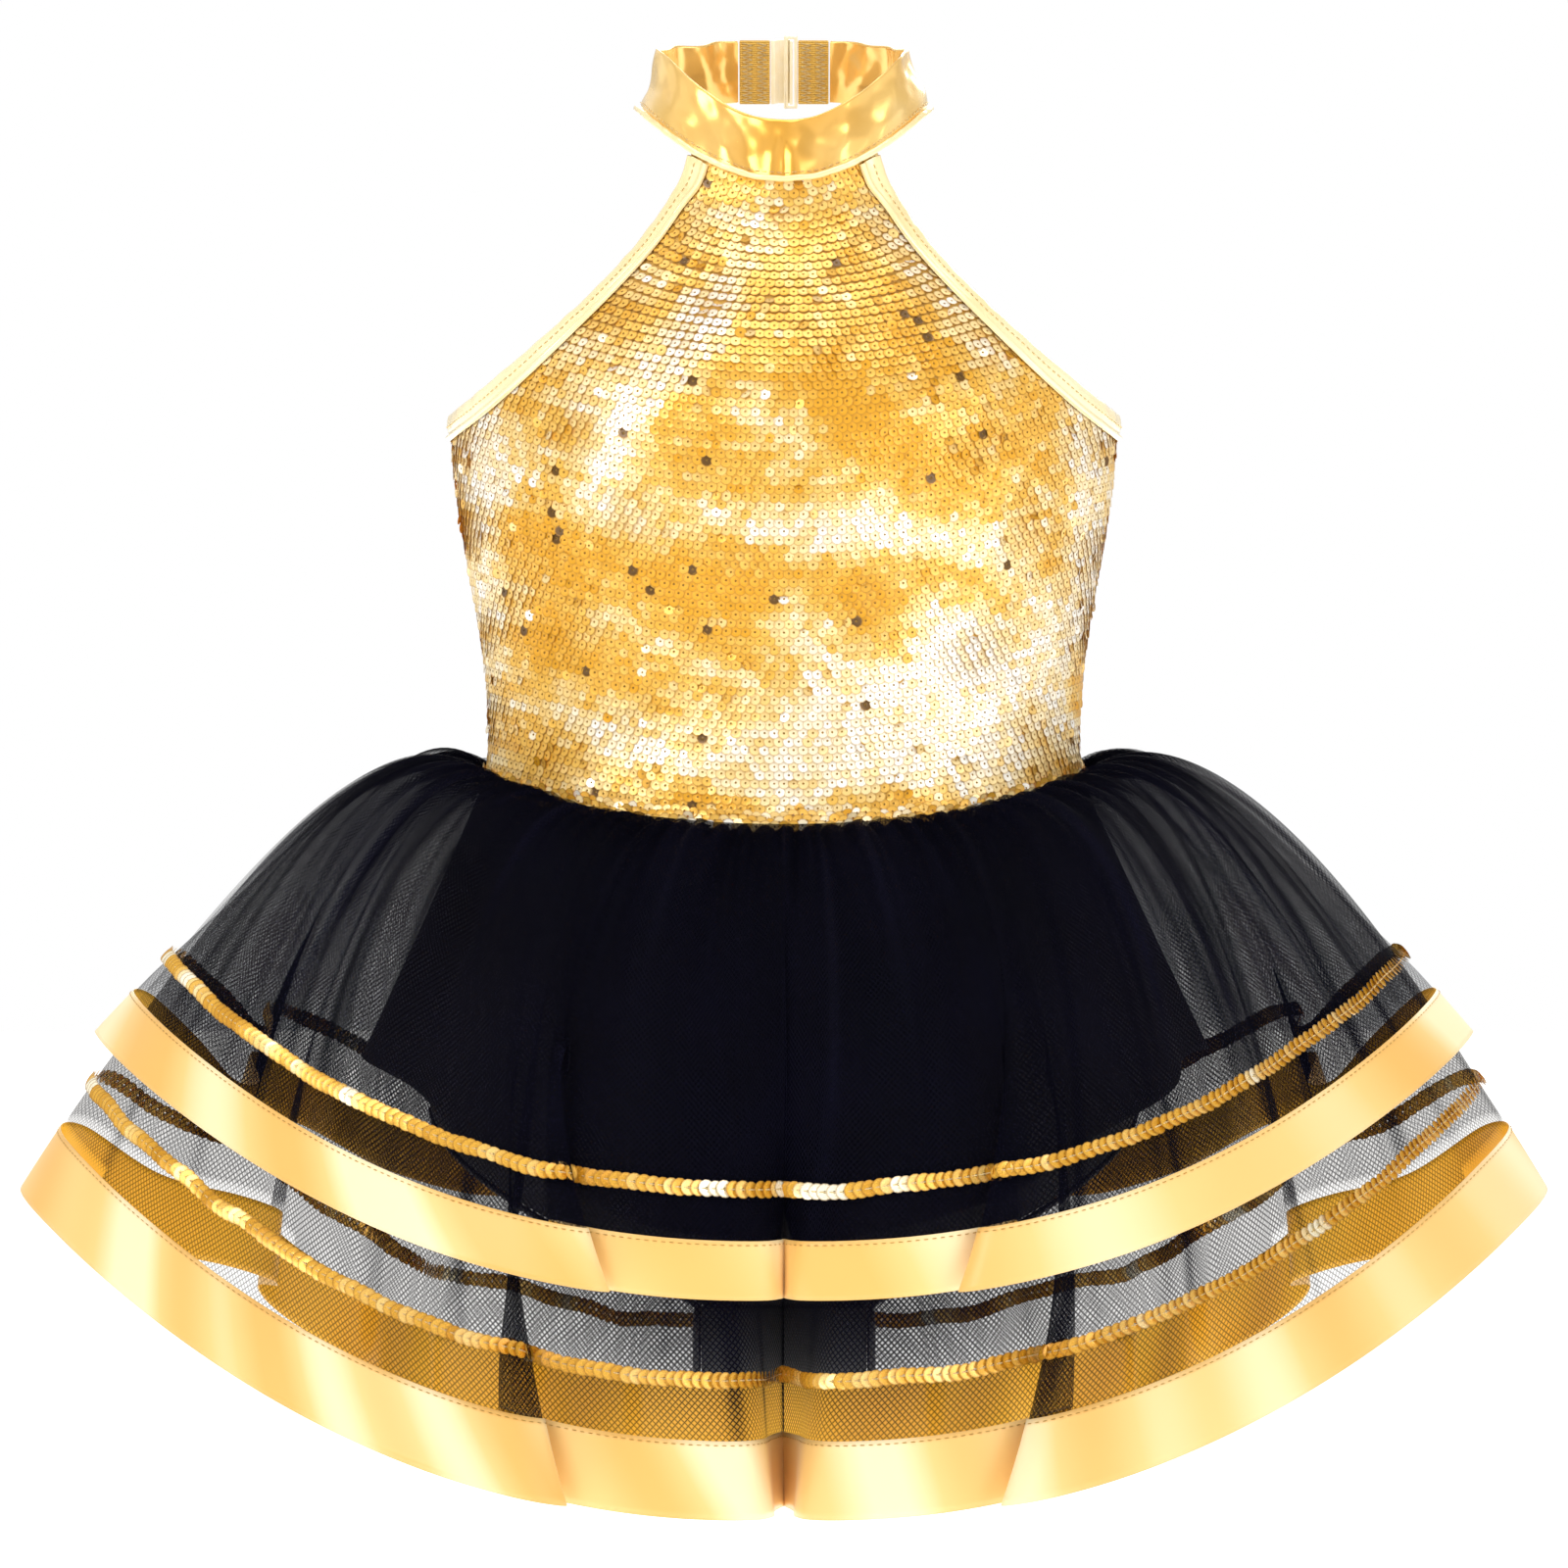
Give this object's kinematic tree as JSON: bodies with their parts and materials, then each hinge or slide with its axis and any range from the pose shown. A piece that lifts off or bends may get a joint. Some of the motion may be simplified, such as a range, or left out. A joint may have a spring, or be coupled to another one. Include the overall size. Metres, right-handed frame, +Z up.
{
  "type": "cheer uniform",
  "caption": "Halter-neck sequin uniform with a foil collar, low open back, two gathered tulle tiers trimmed with ribbon and sequins, and a built-in brief.",
  "frame": {"origin": "centre of the waist opening, level with the waist seam at the sides", "axes": "+Z up the wearer's body, the front looks along -Y, the wearer's left is +X"},
  "size_m": [0.5634, 0.3331, 0.534],
  "materials": {
    "sequin_cloth": "knit covered with small glossy gold sequins",
    "sequin_trim": "glossy gold sequins strung on a thread",
    "foil_cloth": "gold foil on knit, glossy and softly creased",
    "satin_ribbon": "pale gold satin ribbon with a soft sheen",
    "tulle": "sheer matte black net",
    "lining_knit": "matte black stretch knit",
    "elastic_web": "woven gold elastic with zigzag stitching",
    "clasp_plastic": "smooth pale moulded plastic"
  },
  "bodies": {
    "garment": {"bodice_front": "sequin_cloth", "bodice_back": "sequin_cloth", "bodice_lining_front": "lining_knit", "bodice_lining_back": "lining_knit", "armhole_binding_left": "foil_cloth", "armhole_binding_right": "foil_cloth", "back_binding": "foil_cloth", "collar_band": "foil_cloth", "collar_facing": "foil_cloth", "collar_piping": "foil_cloth", "waist_elastic": "elastic_web", "waist_seam_tape": "satin_ribbon", "skirt_lining_front": "lining_knit", "skirt_lining_back": "lining_knit", "lower_tulle_front": "tulle", "lower_tulle_back": "tulle", "upper_tulle_inner_front": "tulle", "upper_tulle_inner_back": "tulle", "upper_tulle_outer_front": "tulle", "upper_tulle_outer_back": "tulle", "upper_ribbon": "satin_ribbon", "lower_ribbon": "satin_ribbon", "upper_sequin_trim": "sequin_trim", "lower_sequin_trim": "sequin_trim", "brief_front": "lining_knit", "brief_back": "lining_knit", "gusset": "lining_knit", "leg_elastic_left": "lining_knit", "leg_elastic_right": "lining_knit"},
    "end_left": {"collar_end_left": "elastic_web"},
    "hook": {"clasp_hook": "clasp_plastic"},
    "end_right": {"collar_end_right": "elastic_web"},
    "loop": {"clasp_loop": "clasp_plastic"}
  },
  "joints": [
    {"name": "collar_end_left_fold", "type": "hinge", "parent": "garment", "child": "end_left", "pos_m": [-0.01665, 0.04059, 0.25882], "axis": [0, -0.2444, 0.9697], "range_deg": [0, 90]},
    {"name": "hook_turn", "type": "hinge", "parent": "end_left", "child": "hook", "pos_m": [-0.00505, 0.0403, 0.25874], "axis": [0, -0.2444, 0.9697], "range_deg": [0, 45]},
    {"name": "collar_end_right_fold", "type": "hinge", "parent": "garment", "child": "end_right", "pos_m": [0.01665, 0.03904, 0.25843], "axis": [0, -0.2444, 0.9697], "range_deg": [0, 90]},
    {"name": "loop_turn", "type": "hinge", "parent": "end_right", "child": "loop", "pos_m": [0.00505, 0.03933, 0.2585], "axis": [0, -0.2444, 0.9697], "range_deg": [0, 45]}
  ]
}
